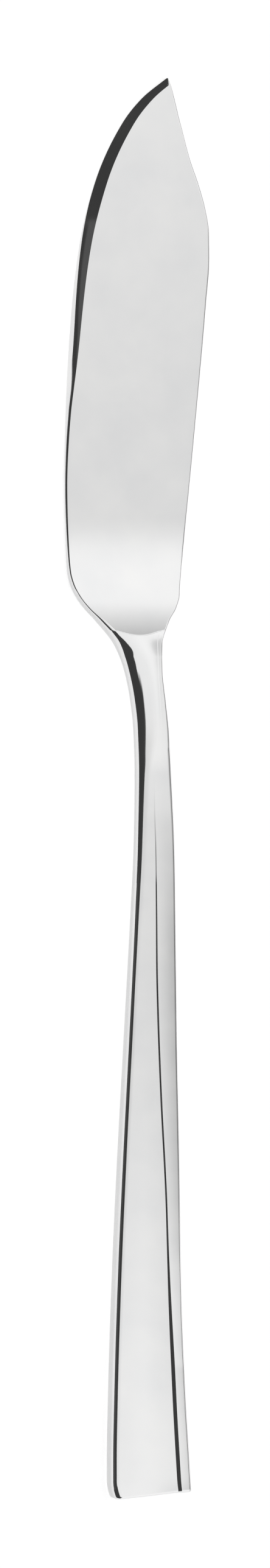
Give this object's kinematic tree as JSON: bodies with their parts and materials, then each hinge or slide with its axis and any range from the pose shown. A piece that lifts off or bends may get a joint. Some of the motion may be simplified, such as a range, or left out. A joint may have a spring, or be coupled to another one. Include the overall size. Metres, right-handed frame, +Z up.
{
  "type": "fish knife",
  "caption": "Polished steel table fish knife: blunt leaf-shaped blade with a bevelled spine, slim rounded neck and a flat-backed, faceted handle that widens to a slanted butt.",
  "frame": {"origin": "middle of the knife's length and width, on the plane of the flat back that it lies on", "axes": "+X across the knife towards its cutting edge, +Y along it from butt to tip, +Z up out of its front face"},
  "size_m": [0.022, 0.21, 0.0042],
  "materials": {
    "polished_steel": "mirror-polished stainless steel with fine polishing marks"
  },
  "bodies": {
    "root": {"blade": "polished_steel", "neck": "polished_steel", "handle": "polished_steel"}
  },
  "joints": []
}
